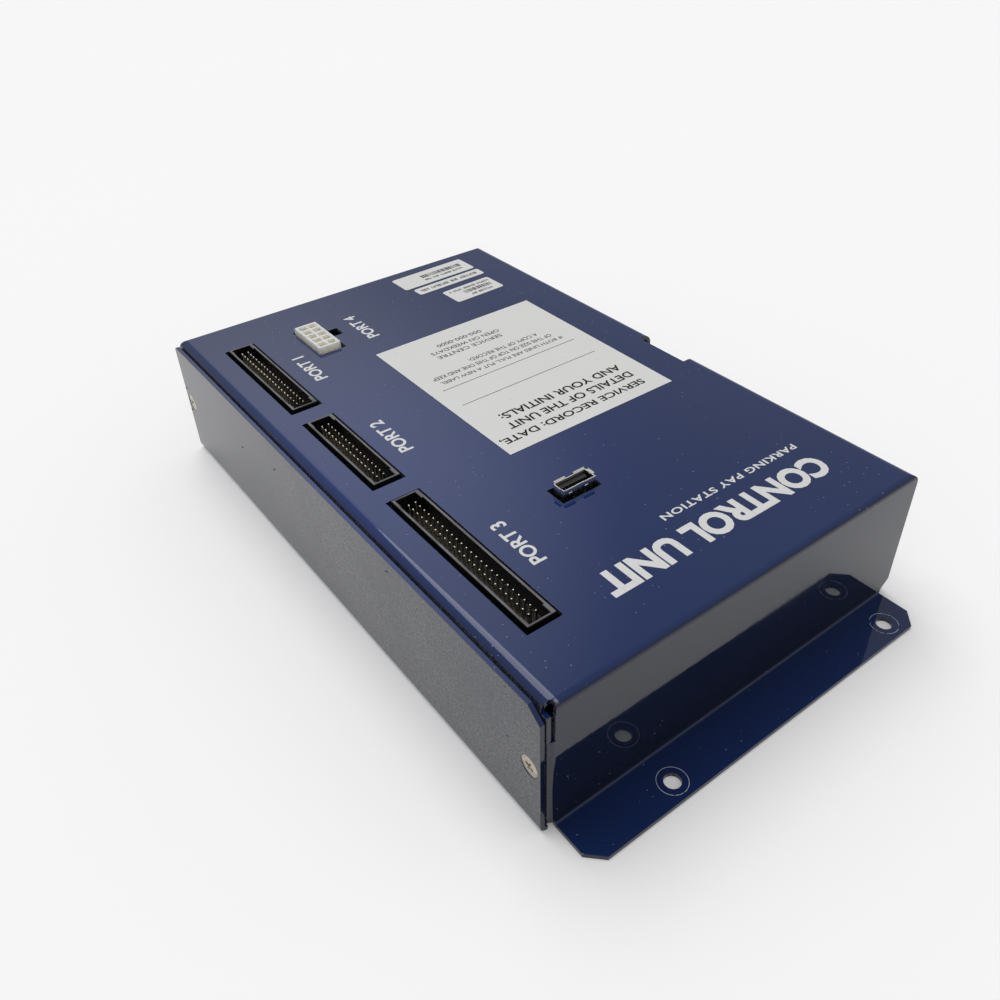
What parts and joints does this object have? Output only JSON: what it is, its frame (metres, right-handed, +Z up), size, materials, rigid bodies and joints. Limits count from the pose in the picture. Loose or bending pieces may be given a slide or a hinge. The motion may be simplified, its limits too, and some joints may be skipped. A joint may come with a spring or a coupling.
{
  "type": "pay station control unit",
  "caption": "Flat folded-steel control box with end flanges; ribbon-cable headers, a power connector and a USB socket come through its top.",
  "frame": {"origin": "centre of the footprint, on the surface that the unit is screwed down to", "axes": "+X along the box, +Y across it away from the ribbon-cable headers, +Z up through the top face"},
  "size_m": [0.2764, 0.1564, 0.0556],
  "materials": {
    "navy_paint": "gloss navy paint with fine orange peel",
    "nickel_steel": "nickel-plated",
    "board_laminate": "solder mask",
    "header_plastic": "satin moulded",
    "gold_pins": "gold flash",
    "bright_tin": "bright tin plate",
    "ivory_nylon": "natural nylon",
    "chip_epoxy": "moulded epoxy",
    "capacitor_sleeve": "shrink sleeve",
    "ferrite": "sintered",
    "black_aluminium": "black anodised",
    "fuse_glass": "clear",
    "cell_steel": "satin",
    "card_plastic": "moulded",
    "switch_red": "moulded",
    "slider_white": "moulded",
    "lamp_lens": "clear tinted",
    "chip_ceramic": "ceramic",
    "label_paper": "satin paper"
  },
  "bodies": {
    "unit": {"top_housing": "navy_paint", "bottom_pan": "navy_paint", "clinch_nuts": "nickel_steel", "board_standoffs": "nickel_steel", "board_screws": "nickel_steel", "main_board": "board_laminate", "header_40_shroud": "header_plastic", "header_40_pins": "gold_pins", "header_32_shroud": "header_plastic", "header_32_pins": "gold_pins", "header_50_shroud": "header_plastic", "header_50_pins": "gold_pins", "power_connector_body": "ivory_nylon", "power_connector_contacts": "bright_tin", "usb_shell": "bright_tin", "usb_tongue": "header_plastic", "usb_contacts": "gold_pins", "supply_connector_body": "ivory_nylon", "supply_connector_pins": "bright_tin", "processor": "chip_epoxy", "memory_chips": "chip_epoxy", "flash_memory": "chip_epoxy", "crystal": "bright_tin", "capacitors": "capacitor_sleeve", "inductors": "ferrite", "regulator": "chip_epoxy", "heat_sink": "black_aluminium", "regulator_screw": "nickel_steel", "fuse": "fuse_glass", "fuse_clips": "bright_tin", "coin_cell_holder": "header_plastic", "card_socket": "bright_tin", "reset_frame": "chip_epoxy", "switch_body": "switch_red", "status_lamps": "lamp_lens", "chip_parts": "chip_ceramic", "service_label": "label_paper", "small_label_1": "label_paper", "small_label_2": "label_paper", "small_label_3": "label_paper"},
    "screw_1": {"cover_screw_1": "nickel_steel"},
    "screw_2": {"cover_screw_2": "nickel_steel"},
    "screw_3": {"cover_screw_3": "nickel_steel"},
    "screw_4": {"cover_screw_4": "nickel_steel"},
    "reset_button": {"reset_plunger": "header_plastic"},
    "slider_1": {"switch_slider_1": "slider_white"},
    "slider_2": {"switch_slider_2": "slider_white"},
    "slider_3": {"switch_slider_3": "slider_white"},
    "slider_4": {"switch_slider_4": "slider_white"},
    "card": {"memory_card": "card_plastic"},
    "cell": {"coin_cell": "cell_steel"}
  },
  "joints": [
    {"name": "cover_screw_1_out", "type": "slide", "parent": "unit", "child": "screw_1", "axis": [0, -1, 0], "range_m": [0, 0.01]},
    {"name": "cover_screw_2_out", "type": "slide", "parent": "unit", "child": "screw_2", "axis": [0, -1, 0], "range_m": [0, 0.01]},
    {"name": "cover_screw_3_out", "type": "slide", "parent": "unit", "child": "screw_3", "axis": [0, 1, 0], "range_m": [0, 0.01]},
    {"name": "cover_screw_4_out", "type": "slide", "parent": "unit", "child": "screw_4", "axis": [0, 1, 0], "range_m": [0, 0.01]},
    {"name": "reset_press", "type": "slide", "parent": "unit", "child": "reset_button", "axis": [0, 0, 1], "range_m": [0, 0.0005], "stiffness_N_per_m": 3000},
    {"name": "switch_1", "type": "slide", "parent": "unit", "child": "slider_1", "axis": [0, 1, 0], "range_m": [0, 0.0021]},
    {"name": "switch_2", "type": "slide", "parent": "unit", "child": "slider_2", "axis": [0, 1, 0], "range_m": [0, 0.0021]},
    {"name": "switch_3", "type": "slide", "parent": "unit", "child": "slider_3", "axis": [0, 1, 0], "range_m": [0, 0.0021]},
    {"name": "switch_4", "type": "slide", "parent": "unit", "child": "slider_4", "axis": [0, 1, 0], "range_m": [0, 0.0021]},
    {"name": "card_out", "type": "slide", "parent": "unit", "child": "card", "axis": [1, 0, 0], "range_m": [0, 0.028]},
    {"name": "cell_out", "type": "slide", "parent": "unit", "child": "cell", "axis": [1, 0, 0], "range_m": [0, 0.022]}
  ]
}
